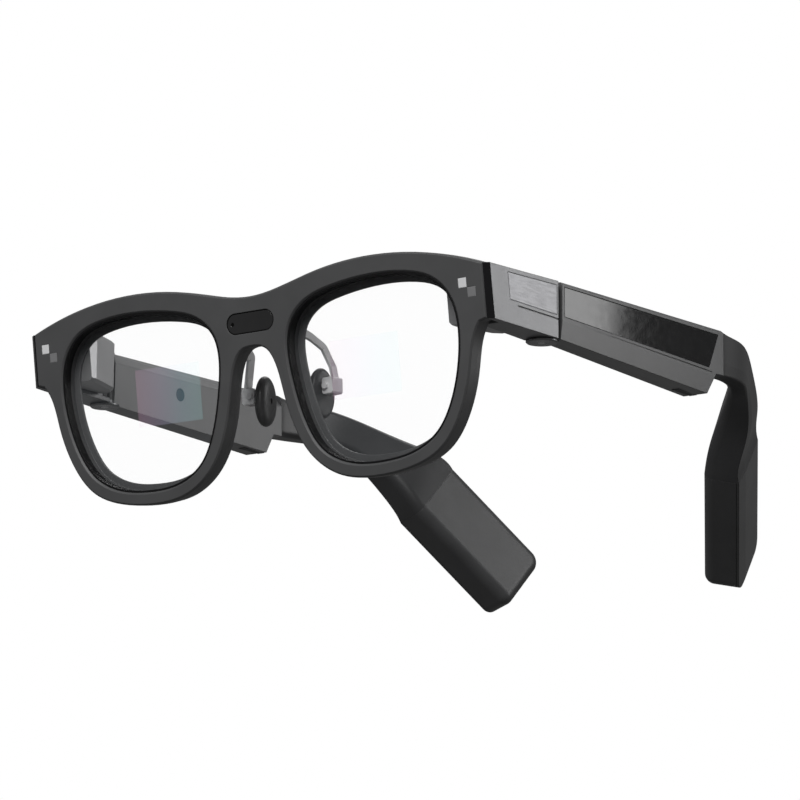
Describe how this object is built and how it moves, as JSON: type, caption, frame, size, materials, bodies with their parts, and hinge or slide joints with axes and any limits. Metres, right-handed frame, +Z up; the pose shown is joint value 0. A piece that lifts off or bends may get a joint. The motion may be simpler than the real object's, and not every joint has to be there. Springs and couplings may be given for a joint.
{
  "type": "smart glasses",
  "caption": "Open wayfarer-shaped smart glasses with see-through displays: thick front, camera window in the bridge, nose pads, folding temples with touch panels and slab battery tips.",
  "frame": {"origin": "middle of the footprint, at table height, with the temples open", "axes": "+X to the wearer's left, +Y from the front towards the back of the head, +Z up"},
  "size_m": [0.1538, 0.1882, 0.0547],
  "materials": {
    "front_plastic": "fine matt",
    "rear_plastic": "fine matt",
    "lens_glass": "clear, anti-reflection coated",
    "grating": "faint rainbow",
    "gloss_black": "polished",
    "camera_metal": "matt black anodised",
    "indicator": "polished",
    "flex_film": "satin film",
    "gasket": "satin",
    "inlay_metal": "polished",
    "block_metal": "dark anodised, satin",
    "panel_metal": "satin silver",
    "engine_plastic": "satin",
    "engine_metal": "bead blasted",
    "hinge_steel": "brushed",
    "arm_metal": "polished strip",
    "pad_silicone": "translucent smoke grey",
    "touch_gloss": "polished black",
    "board": "solder mask",
    "speaker_can": "satin",
    "grille_steel": "black oxide",
    "temple_plastic": "fine satin",
    "tip_plastic": "fine satin",
    "battery_foil": "foil pouch",
    "button_plastic": "satin"
  },
  "bodies": {
    "front": {"bridge_cover": "rear_plastic", "brow_flex_cable": "flex_film", "camera_module": "camera_metal", "camera_window": "gloss_black", "cover_lens_left": "lens_glass", "cover_lens_right": "lens_glass", "display_gratings": "grating", "end_bezels": "gloss_black", "front_frame": "front_plastic", "hinge_block_left": "block_metal", "hinge_block_right": "block_metal", "hinge_bracket_left": "hinge_steel", "hinge_bracket_right": "hinge_steel", "hinge_cap_left": "hinge_steel", "hinge_cap_right": "hinge_steel", "hinge_pins": "hinge_steel", "indicator_led": "indicator", "lens_gasket_left": "gasket", "lens_gasket_right": "gasket", "light_engine_cover_left": "engine_plastic", "light_engine_cover_right": "engine_plastic", "light_engine_left": "engine_metal", "light_engine_right": "engine_metal", "lower_corner_inlays": "inlay_metal", "nose_arm_left": "arm_metal", "nose_arm_right": "arm_metal", "nose_screws": "hinge_steel", "rear_frame": "rear_plastic", "side_panel_left": "panel_metal", "side_panel_right": "panel_metal", "upper_corner_inlays": "inlay_metal", "waveguide_left": "lens_glass", "waveguide_right": "lens_glass"},
    "left_temple": {"temple_knuckle_left": "hinge_steel", "touch_panel_left": "touch_gloss", "circuit_board_left": "board", "speaker_left": "speaker_can", "speaker_grille_left": "grille_steel", "temple_arm_left": "temple_plastic", "tip_housing_left": "tip_plastic", "tip_cover_left": "tip_plastic", "battery_cell_left": "battery_foil", "temple_outer_shell_left": "temple_plastic", "temple_inner_shell_left": "temple_plastic"},
    "right_temple": {"temple_knuckle_right": "hinge_steel", "touch_panel_right": "touch_gloss", "circuit_board_right": "board", "speaker_right": "speaker_can", "speaker_grille_right": "grille_steel", "temple_arm_right": "temple_plastic", "tip_housing_right": "tip_plastic", "tip_cover_right": "tip_plastic", "battery_cell_right": "battery_foil", "temple_outer_shell_right": "temple_plastic", "temple_inner_shell_right": "temple_plastic", "wear_sensor_window": "gloss_black"},
    "left_pad": {"nose_pad_left": "pad_silicone"},
    "right_pad": {"nose_pad_right": "pad_silicone"},
    "button": {"power_button": "button_plastic"}
  },
  "joints": [
    {"name": "left_temple_hinge", "type": "hinge", "parent": "front", "child": "left_temple", "pos_m": [0.0702, -0.06436, 0.0419], "axis": [0, -0.0384, 0.9993], "range_deg": [0, 83]},
    {"name": "right_temple_hinge", "type": "hinge", "parent": "front", "child": "right_temple", "pos_m": [-0.0702, -0.06436, 0.0419], "axis": [0, 0.0384, -0.9993], "range_deg": [0, 65]},
    {"name": "left_pad_rock", "type": "hinge", "parent": "front", "child": "left_pad", "pos_m": [0.0124, -0.07334, 0.02814], "axis": [0.1391, 0.9874, 0.0752], "range_deg": [-8, 8]},
    {"name": "right_pad_rock", "type": "hinge", "parent": "front", "child": "right_pad", "pos_m": [-0.0124, -0.07334, 0.02814], "axis": [-0.1391, 0.9874, 0.0752], "range_deg": [-8, 8]},
    {"name": "power_button_press", "type": "slide", "parent": "left_temple", "child": "button", "axis": [0, 0.0384, -0.9993], "range_m": [0, 0.0005], "stiffness_N_per_m": 400, "springref_m": -0.0005}
  ]
}
